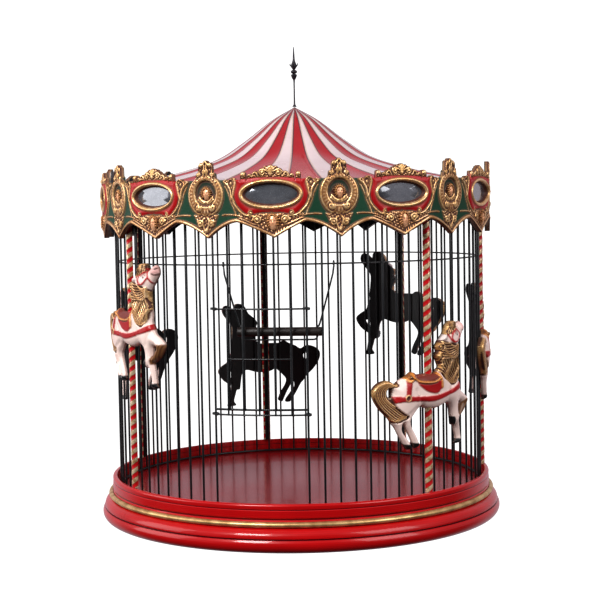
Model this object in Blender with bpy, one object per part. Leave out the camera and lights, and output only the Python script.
"""Ornamental birdcage made as a fairground carousel.

A turned, lacquered base carries a round cage of upright wires. Six half-round poles with relief
horses stand against the outside of the wires, a valance of cast panels with oval mirrors and
portrait medallions hides the top of the wires, and a concave striped tent roof with a thin finial
closes the cage. A wire door slides up and down on two of the cage wires, and a perch swings from
a hoop inside them. Nothing turns: poles and horses are fixed to the cage.

Units are metres, +Z is up, and the door faces -Y. The origin is the middle of the underside.
Angles go round the cage from the middle of the door, positive towards +X.
"""

from math import atan2, cos, hypot, pi, radians, sin, tan

import bmesh
import bpy
from mathutils import Matrix, Vector

# Distance left between pieces that touch
GAP = 0.0003

# Turned base
BASE_RADIUS = 0.2263
FOOT_ROLL_RADIUS = 0.0085
BEAD_RADIUS = 0.0030
BEAD_CENTRE_RADIUS = 0.2163
BEAD_HEIGHT = 0.0280
WALL_RADIUS = 0.2144
RIM_INNER_RADIUS = 0.2095
RIM_TOP = 0.0485
FLOOR_TOP = 0.0337
FLOOR_THICKNESS = 0.0080
BASE_STEPS = 40

# Wire cage
CAGE_RADIUS = 0.2050
WIRE = 0.0022
WIRE_COUNT = 80
WIRE_PITCH = 360.0 / WIRE_COUNT
CAGE_TOP = 0.3660
RING_HEIGHT = 0.0030
SECTOR_WIRES = (7, 8, 8, 8, 8, 9, 8, 8, 8, 8)
SECTOR_NAMES = (
    "cage_front", "cage_right_front", "cage_right", "cage_right_side", "cage_right_rear",
    "cage_rear", "cage_left_rear", "cage_left_side", "cage_left", "cage_left_front",
)

# Hoop inside the wires, which the perch hangs from
HOOP_HEIGHT = 0.2892
HOOP_WIRE = 0.0016
HOOP_RADIUS = CAGE_RADIUS - WIRE / 2 - GAP - HOOP_WIRE / 2

# Door opening and sliding door
SIDE_WIRE_INDEX = 3
HEAD_BAR_HEIGHT = 0.1427
DOOR_BOTTOM = 0.1379
DOOR_MIDDLE = 0.1943
DOOR_TOP = 0.2448
DOOR_WIRE = 0.0018
DOOR_CLEARANCE = 0.0020
EYE_INNER = 0.0042
EYE_OUTER = 0.0078

# Perch on its swing
SWING_TURN = 5.5
SWING_HALF_ANGLE = 16.0
PERCH_HEIGHT = 0.2210
PERCH_LENGTH = 0.0860
PERCH_RADIUS = 0.0045
PERCH_HOLE_RADIUS = 0.00130
SWING_WIRE_RADIUS = 0.0009
SWING_WIRE_DROP = 0.0036
HOOK_RADIUS = 0.0025

# Poles and horses
POLE_ANGLES = {
    "front_right": 51.0, "front_left": -47.8, "side_right": 101.5,
    "side_left": -103.0, "rear_right": 152.4, "rear_left": -156.9,
}
HORSE_HEIGHTS = {
    "front_right": 0.1533, "front_left": 0.2190, "side_right": 0.1840,
    "side_left": 0.1845, "rear_right": 0.2180, "rear_left": 0.1543,
}
BACK_RADIUS = 0.2067
POLE_WIDTH = 0.0090
POLE_DEPTH = 0.0052
POLE_TOP = 0.3400
HORSE_SLAB = 0.0045
MUSCLE_SEAT = 0.0010
HORSE_BEND_STEP = 0.0220
SLOT_REACH = 0.1000
THROUGH_HORSE = 0.0150
LEG_GAP = ((45.5, -25.5), (48.5, -20.5), (51.5, -15.8), (46.3, -15.2), (44.9, -20))
TAIL_GAP = (0.0025, 0.0042, 8, (-0.0512, 0.0022))

# Valance: ten mirror panels and ten medallion panels in turn
PANEL_COUNT = 20
PANEL_ANGLE = 360.0 / PANEL_COUNT
VALANCE_TURN = 4.5
PANEL_BACK = 0.2125
PANEL_FRONT = 0.2165
RAISED_FRONT = 0.2195
PANEL_HALF_WIDTH = PANEL_BACK * tan(radians(PANEL_ANGLE / 2))
MITRE_OVERLAP = 0.0003
ARCH_TOP = 0.3324
PENDANT_TIP = 0.3170
MIRROR_HEIGHT = 0.3584
MIRROR_HOLE = (0.0266, 0.0112)
MIRROR_RIM = (0.0316, 0.0152)
MEDALLION_HEIGHT = 0.3590
MEDALLION_RIM = (0.0204, 0.0212)
MEDALLION_FIELD = (0.0126, 0.0132)
PANEL_SHOULDER = 0.3732
MIRROR_TOP = ((0.0285, 0.3765), (0.0200, 0.3812), (0.0105, 0.3868), (0.0, 0.3886))
MEDALLION_TOP = (
    (0.0200, 0.3722), (0.0130, 0.3782), (0.0085, 0.3838), (0.0078, 0.3915), (0.0035, 0.3944))
MIRROR_TAPER = 1.15
MEDALLION_TAPER = 1.9
EDGE_STATIONS = (-0.0220, -0.0120, -0.0045, 0.0, 0.0045, 0.0120, 0.0220)
MEDALLION_RECESS = RAISED_FRONT - PANEL_FRONT - 0.0004
CUTTER_EXTRA = 0.0010
GLASS_THICKNESS = 0.0015
OVAL_STEPS = 14

# Board under the roof
BOARD_INNER_RADIUS = 0.1900
BOARD_OUTER_RADIUS = 0.2122
BOARD_BOTTOM = 0.3663
BOARD_TOP = 0.3710

# Tent roof and finial
ROOF_STEPS = 40
ROOF_THICKNESS = 0.0025
EAVE_RADIUS = 0.2110
EAVE_HEIGHT = BOARD_TOP + GAP
ROOF_TOP = 0.4601
TIP_HEIGHT = 0.5277


def clear_scene():
    for item in list(bpy.data.objects):
        bpy.data.objects.remove(item, do_unlink=True)


def finish(name, colour, roughness, metallic=0.0):
    """A plain Principled material with one colour."""
    material = bpy.data.materials.new(name)
    material.use_nodes = True
    shader = material.node_tree.nodes["Principled BSDF"]
    shader.inputs["Base Color"].default_value = (*colour, 1.0)
    shader.inputs["Roughness"].default_value = roughness
    shader.inputs["Metallic"].default_value = metallic
    return material


def mesh_from(bm, name):
    """Close the books on a bmesh: doubles merged and faces turned outwards."""
    bmesh.ops.remove_doubles(bm, verts=bm.verts, dist=1e-6)
    bmesh.ops.recalc_face_normals(bm, faces=bm.faces)
    mesh = bpy.data.meshes.new(name)
    bm.to_mesh(mesh)
    bm.free()
    return mesh


def place(name, mesh, material, turn=0.0, location=(0.0, 0.0, 0.0)):
    """Put a mesh into the scene as one named piece, turned about the cage's axis."""
    piece = bpy.data.objects.new(name, mesh)
    piece.location = location
    piece.rotation_euler = (0.0, 0.0, radians(turn))
    if not mesh.materials:
        mesh.materials.append(material)
    mesh.shade_smooth()
    mesh.set_sharp_from_angle(angle=radians(35))
    bpy.context.scene.collection.objects.link(piece)
    return piece


def around(radius, angle, height=0.0):
    """Point at a radius and an angle in degrees from the middle of the door."""
    return Vector((radius * sin(radians(angle)), -radius * cos(radians(angle)), height))


def turned(name, profile, steps):
    """Mesh made by spinning a closed profile of (radius, height) points about Z."""
    bm = bmesh.new()
    corners = [bm.verts.new((radius, 0.0, height)) for radius, height in profile]
    closed = profile[0][0] > 0.0 or profile[-1][0] > 0.0
    pairs = list(zip(corners, corners[1:]))
    if closed:
        pairs.append((corners[-1], corners[0]))
    edges = [bm.edges.new(pair) for pair in pairs]
    bmesh.ops.spin(
        bm, geom=corners + edges, cent=(0, 0, 0), axis=(0, 0, 1), angle=2 * pi, steps=steps)
    return mesh_from(bm, name)


def oval(half_width, half_height, steps, centre=(0.0, 0.0)):
    """Points of an ellipse in the panel's plane."""
    turns = [2 * pi * step / steps for step in range(steps)]
    return [(centre[0] + half_width * cos(t), centre[1] + half_height * sin(t)) for t in turns]


def slab(name, outline, back, front, flare=False):
    """Plate with an (x, z) outline, from the back distance to the front distance on -Y.

    With flare, x grows with the distance, so that the plate's ends are radial.
    """
    bm = bmesh.new()
    corners = [bm.verts.new((x, -back, z)) for x, z in outline]
    face = bm.faces.new(corners)
    grown = bmesh.ops.extrude_face_region(bm, geom=[face], use_keep_orig=True)
    moved = [item for item in grown["geom"] if isinstance(item, bmesh.types.BMVert)]
    for corner in moved:
        corner.co.y = -front
        if flare:
            corner.co.x *= front / back
    return mesh_from(bm, name)


def dome(name, centre, half_width, half_height, depth, tilt=0.0, steps=8, rings=2):
    """Half of a flattened ellipsoid, bulging to -Y, with its flat side sunk into the slab."""
    bm = bmesh.new()
    turn = Matrix.Rotation(radians(tilt), 3, "Y")
    top = bm.verts.new((0.0, -depth, 0.0))
    circles = []
    for ring in range(1, rings + 1):
        polar = pi / 2 * ring / rings
        circles.append([
            bm.verts.new((
                half_width * sin(polar) * cos(2 * pi * step / steps),
                -depth * cos(polar),
                half_height * sin(polar) * sin(2 * pi * step / steps)))
            for step in range(steps)])
    for step in range(steps):
        after = (step + 1) % steps
        bm.faces.new((top, circles[0][step], circles[0][after]))
        for inner, outer in zip(circles, circles[1:]):
            bm.faces.new((inner[step], outer[step], outer[after], inner[after]))
    bm.faces.new(circles[-1])
    bmesh.ops.rotate(bm, verts=bm.verts, cent=(0, 0, 0), matrix=turn)
    bmesh.ops.translate(bm, verts=bm.verts, vec=(centre[0], -MUSCLE_SEAT, centre[1]))
    return mesh_from(bm, name)


def combined(name, start, steps):
    """Boolean result of a start mesh and a list of (operation, mesh) steps."""
    helpers = [bpy.data.objects.new(name + "_start", start)]
    for operation, mesh in steps:
        cutter = bpy.data.objects.new(name + "_helper", mesh)
        modifier = helpers[0].modifiers.new("shape", "BOOLEAN")
        modifier.operation = operation
        modifier.object = cutter
        helpers.append(cutter)
    for helper in helpers:
        bpy.context.scene.collection.objects.link(helper)
    graph = bpy.context.evaluated_depsgraph_get()
    shape = bpy.data.meshes.new_from_object(helpers[0].evaluated_get(graph))
    shape.name = name
    for helper in helpers:
        bpy.data.objects.remove(helper, do_unlink=True)
    return shape


def tidy(mesh):
    """Merge doubles left by a Boolean and make the faces flat again where they are flat."""
    bm = bmesh.new()
    bm.from_mesh(mesh)
    bmesh.ops.remove_doubles(bm, verts=bm.verts, dist=2e-5)
    bmesh.ops.dissolve_degenerate(bm, edges=bm.edges, dist=1e-5)
    bmesh.ops.triangulate(bm, faces=bm.faces)
    bm.to_mesh(mesh)
    bm.free()
    return mesh


def grid_sheet(angles, heights, filled):
    """Sheet on the cage's cylinder: cells between angles and heights, kept where filled says."""
    bm = bmesh.new()
    corners = {}

    def corner(column, row):
        if (column, row) not in corners:
            radius, height = heights["radius"], heights["rows"][row]
            corners[column, row] = bm.verts.new(around(radius, angles[column], height))
        return corners[column, row]

    for column in range(len(angles) - 1):
        for row in range(len(heights["rows"]) - 1):
            if filled(column, row):
                bm.faces.new((
                    corner(column, row), corner(column + 1, row),
                    corner(column + 1, row + 1), corner(column, row + 1)))
    return bm


def thickened(bm, name, thickness):
    """Give a sheet on a cylinder a wall that grows inwards."""
    grown = bmesh.ops.extrude_face_region(bm, geom=list(bm.faces), use_keep_orig=True)
    for item in grown["geom"]:
        if isinstance(item, bmesh.types.BMVert):
            radius = hypot(item.co.x, item.co.y)
            item.co.x *= (radius - thickness) / radius
            item.co.y *= (radius - thickness) / radius
    return mesh_from(bm, name)


# Base

def base_profile():
    """Outline of the turned base, from the middle of the underside round to the recess."""
    roll_centre = BASE_RADIUS - FOOT_ROLL_RADIUS
    profile = [(0.0, 0.0), (roll_centre - 0.004, 0.0)]
    for angle in (-75, -45, -15, 15, 45, 70):
        profile.append((
            roll_centre + FOOT_ROLL_RADIUS * cos(radians(angle)),
            FOOT_ROLL_RADIUS + FOOT_ROLL_RADIUS * sin(radians(angle))))
    seat = BEAD_CENTRE_RADIUS - 0.0012
    profile += [
        (WALL_RADIUS + 0.0042, 0.0205),
        (WALL_RADIUS + 0.0030, BEAD_HEIGHT - BEAD_RADIUS),
        (seat - BEAD_RADIUS, BEAD_HEIGHT - BEAD_RADIUS),
        (seat - BEAD_RADIUS, BEAD_HEIGHT + BEAD_RADIUS),
        (WALL_RADIUS, BEAD_HEIGHT + BEAD_RADIUS + 0.0006),
        (WALL_RADIUS, RIM_TOP - 0.0035),
        (WALL_RADIUS - 0.0012, RIM_TOP - 0.0006),
        (WALL_RADIUS - 0.0024, RIM_TOP),
        (RIM_INNER_RADIUS, RIM_TOP),
        (RIM_INNER_RADIUS, FLOOR_TOP - FLOOR_THICKNESS),
        (0.0, FLOOR_TOP - FLOOR_THICKNESS),
    ]
    return profile


def build_base(red, gold):
    place("base_plinth", turned("base_plinth", base_profile(), BASE_STEPS), red)
    inner = BEAD_CENTRE_RADIUS - 0.0012 - BEAD_RADIUS + GAP
    half = BEAD_RADIUS - GAP
    bead = [
        (inner, BEAD_HEIGHT - half), (BEAD_CENTRE_RADIUS, BEAD_HEIGHT - half),
        (BEAD_CENTRE_RADIUS + 0.7 * BEAD_RADIUS, BEAD_HEIGHT - 0.6 * half),
        (BEAD_CENTRE_RADIUS + BEAD_RADIUS, BEAD_HEIGHT),
        (BEAD_CENTRE_RADIUS + 0.7 * BEAD_RADIUS, BEAD_HEIGHT + 0.6 * half),
        (BEAD_CENTRE_RADIUS, BEAD_HEIGHT + half), (inner, BEAD_HEIGHT + half),
    ]
    place("gold_bead", turned("gold_bead", bead, BASE_STEPS), gold)
    edge = RIM_INNER_RADIUS - GAP
    board = [
        (0.0, FLOOR_TOP - FLOOR_THICKNESS + GAP), (edge, FLOOR_TOP - FLOOR_THICKNESS + GAP),
        (edge, FLOOR_TOP), (0.0, FLOOR_TOP)]
    place("floor_board", turned("floor_board", board, BASE_STEPS), red)


# Cage

def wire_angles(first, count):
    """Column edges of a sector: a gap half, then wire and gap in turn, then a gap half."""
    half_wire = WIRE / 2 / CAGE_RADIUS * 180 / pi
    half_joint = GAP / 2 / CAGE_RADIUS * 180 / pi
    edges = [(first - 0.5) * WIRE_PITCH + half_joint]
    for index in range(first, first + count):
        edges += [index * WIRE_PITCH - half_wire, index * WIRE_PITCH + half_wire]
    edges.append((first + count - 0.5) * WIRE_PITCH - half_joint)
    return edges


def build_cage(black):
    """Ten sectors of upright wires, joined by a ring on the floor and a ring at the top."""
    bottom = FLOOR_TOP + GAP
    rows = [
        bottom, bottom + RING_HEIGHT, HEAD_BAR_HEIGHT - WIRE / 2, HEAD_BAR_HEIGHT + WIRE / 2,
        CAGE_TOP - RING_HEIGHT, CAGE_TOP]
    first = -(SECTOR_WIRES[0] // 2)
    for name, count in zip(SECTOR_NAMES, SECTOR_WIRES):
        start = first
        is_front = name == "cage_front"
        sector_rows = rows if is_front else [rows[0], rows[1], rows[-2], rows[-1]]
        last_row = len(sector_rows) - 2

        def filled(column, row):
            if row in (0, last_row):
                return True
            index = start + (column - 1) // 2
            on_wire = column % 2 == 1
            if not is_front:
                return on_wire
            if row == 2:
                return on_wire or 1 < column < 2 * count - 1
            if row == 1:
                return on_wire and abs(index) == SIDE_WIRE_INDEX
            return on_wire

        heights = {"radius": CAGE_RADIUS + WIRE / 2, "rows": sector_rows}
        sheet = grid_sheet(wire_angles(start, count), heights, filled)
        place(name, thickened(sheet, name, WIRE), black)
        first += count


def build_hoop(black):
    half = HOOP_WIRE / 2
    ring = [
        (HOOP_RADIUS - half, HOOP_HEIGHT - half), (HOOP_RADIUS + half, HOOP_HEIGHT - half),
        (HOOP_RADIUS + half, HOOP_HEIGHT + half), (HOOP_RADIUS - half, HOOP_HEIGHT + half)]
    place("perch_hoop", turned("perch_hoop", ring, WIRE_COUNT), black)


# Door

def square_ring(name, angle, inner, outer, bottom, top):
    """Square eye lying flat round the cage wire at an angle."""
    bm = bmesh.new()
    turn = Matrix.Rotation(radians(angle), 3, "Z")
    loops = []
    for size, height in ((outer, bottom), (outer, top), (inner, top), (inner, bottom)):
        half = size / 2
        loops.append([
            bm.verts.new(turn @ Vector((dx * half, dy * half - CAGE_RADIUS, height)))
            for dx, dy in ((-1, -1), (1, -1), (1, 1), (-1, 1))])
    for lower, upper in zip(loops, loops[1:] + loops[:1]):
        for side in range(4):
            after = (side + 1) % 4
            bm.faces.new((lower[side], lower[after], upper[after], upper[side]))
    return mesh_from(bm, name)


def build_door(black):
    """Sliding door: five uprights, three cross wires and an eye at each end of two of them."""
    radius = CAGE_RADIUS + WIRE / 2 + DOOR_CLEARANCE + DOOR_WIRE
    half_wire = DOOR_WIRE / 2 / radius * 180 / pi
    side = SIDE_WIRE_INDEX * WIRE_PITCH
    eye_reach = (EYE_OUTER / 2 - 0.0009) / radius * 180 / pi
    angles = [-side + eye_reach]
    for index in range(1 - SIDE_WIRE_INDEX, SIDE_WIRE_INDEX):
        angles += [index * WIRE_PITCH - half_wire, index * WIRE_PITCH + half_wire]
    angles.append(side - eye_reach)
    rows = []
    for height in (DOOR_BOTTOM, DOOR_MIDDLE, DOOR_TOP):
        rows += [height - DOOR_WIRE / 2, height + DOOR_WIRE / 2]
    last_column = len(angles) - 2

    def filled(column, row):
        if row in (0, 4):
            return True
        if column in (0, last_column):
            return False
        return row == 2 or column % 2 == 1

    sheet = grid_sheet(angles, {"radius": radius, "rows": rows}, filled)
    frame = thickened(sheet, "door_frame", DOOR_WIRE)
    eyes = []
    for height in (DOOR_BOTTOM, DOOR_TOP):
        for end in (-side, side):
            low, high = height - DOOR_WIRE / 2 - 0.0002, height + DOOR_WIRE / 2 + 0.0002
            eye = square_ring("eye", end, EYE_INNER, EYE_OUTER, low, high)
            eyes.append(("UNION", eye))
    place("sliding_door", tidy(combined("sliding_door", frame, eyes)), black)


# Perch

def swing_frame():
    """Place of the swing's axis: middle of the chord between the two hooks."""
    distance = HOOP_RADIUS * cos(radians(SWING_HALF_ANGLE))
    return around(distance, SWING_TURN, HOOP_HEIGHT)


def swing_path():
    """Half of the wire's route in the swing's own plane, from the middle up to the hook."""
    perch_drop = HOOP_HEIGHT - PERCH_HEIGHT
    low = -perch_drop - PERCH_RADIUS - SWING_WIRE_DROP
    end = PERCH_LENGTH / 2 - 0.0045
    hook = HOOP_RADIUS * sin(radians(SWING_HALF_ANGLE))
    corner = 0.0040
    path = [Vector((0.0, 0.0, low)), Vector((end - corner, 0.0, low))]
    for angle in (30, 60):
        path.append(Vector((
            end - corner + corner * sin(radians(angle)), 0.0,
            low + corner - corner * cos(radians(angle)))))
    path += [
        Vector((end, 0.0, low + corner)),
        Vector((end, 0.0, -perch_drop + PERCH_RADIUS + 0.001)),
        Vector((end + 0.003, 0.0, -perch_drop + 0.010)),
    ]
    shank = Vector((hook - 0.0008, 0.0, -HOOK_RADIUS - 0.006))
    path += [path[-1].lerp(shank, share) for share in (0.5, 1.0)]
    for angle in range(-60, 211, 30):
        path.append(Vector((
            hook, HOOK_RADIUS * cos(radians(angle)), HOOK_RADIUS * sin(radians(angle)))))
    return path


def build_swing(black, wood):
    """Dowel perch and the bent wire that it hangs in, both on an empty at the swing's axis."""
    pivot = bpy.data.objects.new("swing_axis", None)
    pivot.location = swing_frame()
    pivot.rotation_euler = (0.0, 0.0, radians(SWING_TURN))
    bpy.context.scene.collection.objects.link(pivot)

    half = swing_path()
    mirrored = [Vector((-point.x, point.y, point.z)) for point in half[:0:-1]]
    route = mirrored + half
    curve = bpy.data.curves.new("swing_wire", "CURVE")
    curve.dimensions = "3D"
    curve.bevel_depth = SWING_WIRE_RADIUS
    curve.bevel_resolution = 1
    curve.use_fill_caps = True
    spline = curve.splines.new("POLY")
    spline.points.add(len(route) - 1)
    for point, place_in_route in zip(spline.points, route):
        point.co = (*place_in_route, 1.0)
    curve.materials.append(black)
    wire = bpy.data.objects.new("swing_wire", curve)
    wire.parent = pivot
    bpy.context.scene.collection.objects.link(wire)

    bm = bmesh.new()
    bmesh.ops.create_cone(
        bm, cap_ends=True, segments=12, radius1=PERCH_RADIUS, radius2=PERCH_RADIUS,
        depth=PERCH_LENGTH, matrix=Matrix.Rotation(pi / 2, 4, "Y"))
    dowel = mesh_from(bm, "perch_dowel")
    holes = []
    for side in (-1, 1):
        bm = bmesh.new()
        shift = Matrix.Translation((side * (PERCH_LENGTH / 2 - 0.0045), 0.0, 0.0))
        bmesh.ops.create_cone(
            bm, cap_ends=True, segments=8, radius1=PERCH_HOLE_RADIUS,
            radius2=PERCH_HOLE_RADIUS, depth=4 * PERCH_RADIUS, matrix=shift)
        holes.append(("DIFFERENCE", mesh_from(bm, "perch_hole")))
    mesh = tidy(combined("perch_dowel", dowel, holes))
    perch = place("perch_dowel", mesh, wood, location=(0.0, 0.0, PERCH_HEIGHT - HOOP_HEIGHT))
    perch.parent = pivot


# Poles and horses

def pole_mesh(low, high):
    """Half-round bar with its flat side against the wires."""
    half = POLE_WIDTH / 2
    bm = bmesh.new()
    turns = [pi * step / 6 for step in range(7)]
    corners = [
        bm.verts.new((half * cos(turn), -BACK_RADIUS - POLE_DEPTH * sin(turn), low))
        for turn in turns]
    face = bm.faces.new(corners)
    grown = bmesh.ops.extrude_face_region(bm, geom=[face], use_keep_orig=True)
    for item in grown["geom"]:
        if isinstance(item, bmesh.types.BMVert):
            item.co.z = high
    return mesh_from(bm, "pole")


def horse_outline():
    """Leaping horse seen from outside, head to +X, in millimetres from the pole and the body."""
    head = [
        (46.5, 68), (52, 69.8), (56, 67), (56.8, 61), (53.5, 55.5), (50.6, 52), (46.5, 47),
        (43.5, 41), (44, 30), (45.2, 18), (45, 10.5), (48, 4.5)]
    front_legs = [
        (50.5, -2), (57.5, -6.5), (63.5, -12), (62.5, -18), (56.5, -26), (48.5, -31.5), (46, -33),
        (47.6, -40), (50.2, -54), (51.5, -59), (40.5, -58.5), (43, -53), (41, -45), (39, -39),
        (35, -38), (33.5, -30), (31.5, -19), (25.5, -14)]
    belly = [(13.5, -17), (4.5, -17.8), (-6.5, -16.3), (-12, -13.8)]
    hind_legs = [
        (-16.5, -16.5), (-22, -22), (-26, -27.5), (-24.5, -34.5), (-19, -43.5), (-15.5, -54.5),
        (-20.5, -56.5), (-23, -52), (-27, -43.5), (-35, -29.5), (-36.5, -37), (-31, -45),
        (-25, -53.5), (-25, -57), (-30.5, -57), (-34, -52.5), (-39.5, -43.5), (-45, -33.5)]
    tail = [
        (-48.5, -29.5), (-53, -23), (-61.5, -14.5), (-67.8, -5.3), (-70.3, 2.7), (-69.2, 8.5),
        (-64.3, 13), (-56.7, 15.5), (-50, 14.3), (-45, 11.5)]
    back = [
        (-38.7, 15.5), (-30.5, 18.8), (-25.5, 22), (-17.5, 19.3), (-8.5, 19.4), (8, 19.5),
        (14, 25.2)]
    mane = [
        (10.2, 33.5), (8.6, 38), (11.5, 41), (10, 46), (13, 51), (17.5, 55), (23.5, 62),
        (26, 67), (31, 70.8), (36.5, 71.3), (40, 68.5), (41.2, 63.5)]
    return head + front_legs + belly + hind_legs + tail + back + mane


def in_metres(points):
    """The same points in metres."""
    return [(x / 1000, z / 1000) for x, z in points]


def bent(mesh, name):
    """Wrap a flat relief round the cage: x becomes arc length, -y becomes distance outwards."""
    bm = bmesh.new()
    bm.from_mesh(mesh)
    cuts = int(0.08 / HORSE_BEND_STEP)
    for step in range(-cuts, cuts + 1):
        geometry = list(bm.verts) + list(bm.edges) + list(bm.faces)
        bmesh.ops.bisect_plane(
            bm, geom=geometry, dist=1e-6, plane_co=(step * HORSE_BEND_STEP, 0, 0),
            plane_no=(1, 0, 0))
    bmesh.ops.triangulate(bm, faces=bm.faces)
    for corner in bm.verts:
        angle = corner.co.x / BACK_RADIUS
        radius = BACK_RADIUS - corner.co.y
        corner.co.x = radius * sin(angle)
        corner.co.y = -radius * cos(angle)
    return mesh_from(bm, name)


def horse_mesh():
    """Relief horse: a cut-out with rounded muscles, bent to the cage, with a slot for the pole."""
    flat = slab("horse_flat", in_metres(horse_outline()), 0.0, HORSE_SLAB)
    muscles = [
        ("barrel", (-0.006, 0.002), 0.036, 0.0165, 0.0090, 0),
        ("haunch", (-0.034, 0.000), 0.018, 0.0190, 0.0080, 0),
        ("chest", (0.0272, 0.009), 0.0175, 0.0240, 0.0080, 10),
        ("neck", (0.0272, 0.0355), 0.0150, 0.0270, 0.0070, -4),
        ("head", (0.0440, 0.0595), 0.0110, 0.0080, 0.0060, -35),
        ("tail", (-0.0590, -0.0020), 0.0085, 0.0150, 0.0060, -10),
    ]
    steps = [
        ("UNION", dome(name, centre, width, height, depth, tilt))
        for name, centre, width, height, depth, tilt in muscles]
    half = POLE_WIDTH / 2 + GAP
    slot_outline = [(-half, -SLOT_REACH), (half, -SLOT_REACH), (half, SLOT_REACH), (-half, SLOT_REACH)]
    slot = slab("slot", slot_outline, -CUTTER_EXTRA, POLE_DEPTH + GAP)
    leg_gap = slab("leg_gap", in_metres(LEG_GAP), -CUTTER_EXTRA, THROUGH_HORSE)
    tail_gap = slab("tail_gap", oval(*TAIL_GAP), -CUTTER_EXTRA, THROUGH_HORSE)
    steps += [("DIFFERENCE", cutter) for cutter in (slot, leg_gap, tail_gap)]
    return bent(tidy(combined("horse", flat, steps)), "horse")


def build_poles_and_horses(gold, cream):
    upright = pole_mesh(RIM_TOP + GAP, POLE_TOP)
    horse = horse_mesh()
    for place_name, angle in POLE_ANGLES.items():
        place("pole_" + place_name, upright, gold, turn=angle)
        height = HORSE_HEIGHTS[place_name]
        place("horse_" + place_name, horse, cream, turn=angle, location=(0.0, 0.0, height))


# Valance

def lower_edge(x, sharpness):
    """Scalloped edge: lowest at the panel's middle, highest at its ends."""
    share = min(1.0, abs(x) / PANEL_HALF_WIDTH)
    return ARCH_TOP - (ARCH_TOP - PENDANT_TIP) * (1 - share) ** sharpness


def panel_outline(top_points, sharpness, stations):
    """Outline of a panel from its scalloped lower edge and the points of its upper edge."""
    half = PANEL_HALF_WIDTH
    lower = [(x, lower_edge(x, sharpness)) for x in stations]
    lower = [(-half, ARCH_TOP)] + lower + [(half, ARCH_TOP)]
    upper = list(top_points) + [(-x, z) for x, z in top_points[::-1] if x > 0]
    return lower + [(half, PANEL_SHOULDER)] + upper + [(-half, PANEL_SHOULDER)]


def valance_mesh():
    """One mirror panel and the medallion panel to its right, mitred at 18 degrees."""
    shrink = (PANEL_HALF_WIDTH + MITRE_OVERLAP) / PANEL_HALF_WIDTH

    def plate(name, top, sharpness):
        outline = [(x * shrink, z) for x, z in panel_outline(top, sharpness, EDGE_STATIONS)]
        return slab(name, outline, PANEL_BACK, PANEL_FRONT, flare=True)

    mirror = plate("mirror_plate", MIRROR_TOP, MIRROR_TAPER)
    rim = slab(
        "mirror_rim", oval(*MIRROR_RIM, OVAL_STEPS, (0.0, MIRROR_HEIGHT)),
        PANEL_BACK + CUTTER_EXTRA, RAISED_FRONT)
    hole = slab(
        "mirror_hole", oval(*MIRROR_HOLE, OVAL_STEPS, (0.0, MIRROR_HEIGHT)),
        PANEL_BACK - CUTTER_EXTRA, RAISED_FRONT + CUTTER_EXTRA)
    mirror_panel = combined("mirror_panel", mirror, [("UNION", rim), ("DIFFERENCE", hole)])

    medallion = plate("medallion_plate", MEDALLION_TOP, MEDALLION_TAPER)
    frame = slab(
        "medallion_rim", oval(*MEDALLION_RIM, OVAL_STEPS, (0.0, MEDALLION_HEIGHT)),
        PANEL_BACK + CUTTER_EXTRA, RAISED_FRONT)
    field = slab(
        "medallion_field", oval(*MEDALLION_FIELD, OVAL_STEPS, (0.0, MEDALLION_HEIGHT)),
        RAISED_FRONT - MEDALLION_RECESS, RAISED_FRONT + CUTTER_EXTRA)
    medallion_panel = combined(
        "medallion_panel", medallion, [("UNION", frame), ("DIFFERENCE", field)])
    medallion_panel.transform(Matrix.Rotation(radians(PANEL_ANGLE), 4, "Z"))

    joined = combined("valance_segment", mirror_panel, [("UNION", medallion_panel)])
    return trimmed(tidy(joined))


def trimmed(mesh):
    """Cut both ends of a segment on radial planes, so that neighbours keep their gap."""
    bm = bmesh.new()
    bm.from_mesh(mesh)
    half_gap = GAP / PANEL_BACK / 2 * 180 / pi
    for angle, side in ((-PANEL_ANGLE / 2 + half_gap, -1), (1.5 * PANEL_ANGLE - half_gap, 1)):
        normal = Vector((cos(radians(angle)), sin(radians(angle)), 0.0)) * side
        geometry = list(bm.verts) + list(bm.edges) + list(bm.faces)
        cut = bmesh.ops.bisect_plane(
            bm, geom=geometry, dist=1e-6, plane_co=(0, 0, 0), plane_no=normal, clear_outer=True)
        rim = [item for item in cut["geom_cut"] if isinstance(item, bmesh.types.BMEdge)]
        bmesh.ops.holes_fill(bm, edges=rim)
    return mesh_from(bm, mesh.name)


def glass_mesh():
    half_width, half_height = MIRROR_HOLE
    outline = oval(half_width - GAP, half_height - GAP, OVAL_STEPS, (0.0, MIRROR_HEIGHT))
    back = PANEL_BACK + GAP
    return slab("mirror_glass", outline, back, back + GLASS_THICKNESS)


def build_valance(gold, mirror):
    segment = valance_mesh()
    glass = glass_mesh()
    for number in range(PANEL_COUNT // 2):
        turn = VALANCE_TURN + 2 * PANEL_ANGLE * number
        place("valance_%02d" % (number + 1), segment, gold, turn=turn)
        place("mirror_%02d" % (number + 1), glass, mirror, turn=turn)


# Roof

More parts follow.
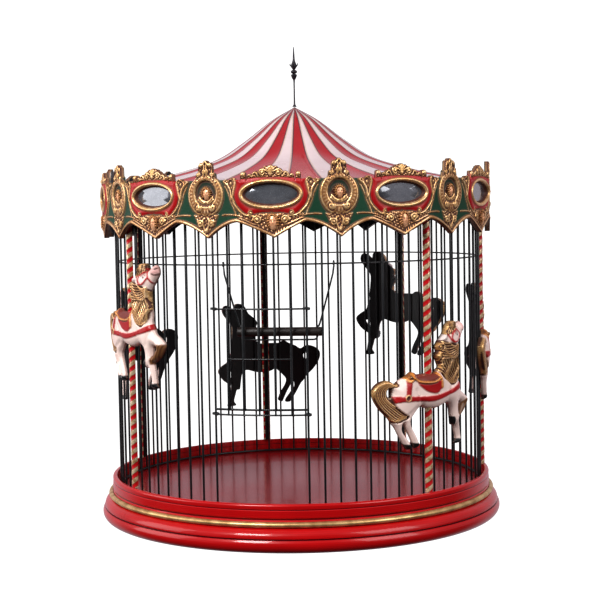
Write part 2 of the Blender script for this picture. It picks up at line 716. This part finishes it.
def roof_profile():
    """Concave tent: heights eased from the steep top to the flat eave, with a thin wall."""
    outer = [
        (EAVE_RADIUS, EAVE_HEIGHT), (0.1700, 0.3790), (0.1290, 0.3885), (0.0882, 0.4020),
        (0.0568, 0.4220), (0.0267, 0.4450), (0.0, ROOF_TOP)]
    inner = []
    for before, here, after in zip(outer, outer[1:], outer[2:]):
        slope = atan2(after[1] - before[1], before[0] - after[0])
        inner.append((
            here[0] - ROOF_THICKNESS * sin(slope), here[1] - ROOF_THICKNESS * cos(slope)))
    foot = (EAVE_RADIUS - 2 * ROOF_THICKNESS, EAVE_HEIGHT)
    return [(0.0, ROOF_TOP - 2 * ROOF_THICKNESS)] + inner[::-1] + [foot] + outer


def build_roof(red, black):
    place("tent_roof", turned("tent_roof", roof_profile(), ROOF_STEPS), red)
    board = [
        (BOARD_INNER_RADIUS, BOARD_BOTTOM), (BOARD_OUTER_RADIUS, BOARD_BOTTOM),
        (BOARD_OUTER_RADIUS, BOARD_TOP), (BOARD_INNER_RADIUS, BOARD_TOP)]
    place("roof_board", turned("roof_board", board, BASE_STEPS), black)
    foot = ROOF_TOP + GAP
    finial = [
        (0.0, foot), (0.0022, foot), (0.0010, foot + 0.0040), (0.0009, 0.4850),
        (0.0014, 0.4910), (0.0034, 0.4965), (0.0037, 0.5005), (0.0024, 0.5035),
        (0.0012, 0.5048), (0.0034, 0.5068), (0.0026, 0.5090), (0.0012, 0.5135),
        (0.0009, 0.5200), (0.0, TIP_HEIGHT)]
    place("finial", turned("finial", finial, 10), black)


def build():
    clear_scene()
    red = finish("red_lacquer", (0.42, 0.01, 0.01), 0.25)
    gold = finish("antique_gold", (0.55, 0.32, 0.12), 0.4, 0.6)
    black = finish("black_wire", (0.01, 0.012, 0.013), 0.4)
    wood = finish("dark_wood", (0.03, 0.02, 0.02), 0.5)
    cream = finish("painted_cream", (0.80, 0.62, 0.55), 0.4)
    mirror = finish("mirror_glass", (0.75, 0.77, 0.80), 0.05, 1.0)
    roof_red = finish("roof_stripes", (0.60, 0.10, 0.11), 0.25)
    build_base(red, gold)
    build_cage(black)
    build_hoop(black)
    build_door(black)
    build_swing(black, wood)
    build_poles_and_horses(gold, cream)
    build_valance(gold, mirror)
    build_roof(roof_red, black)


build()
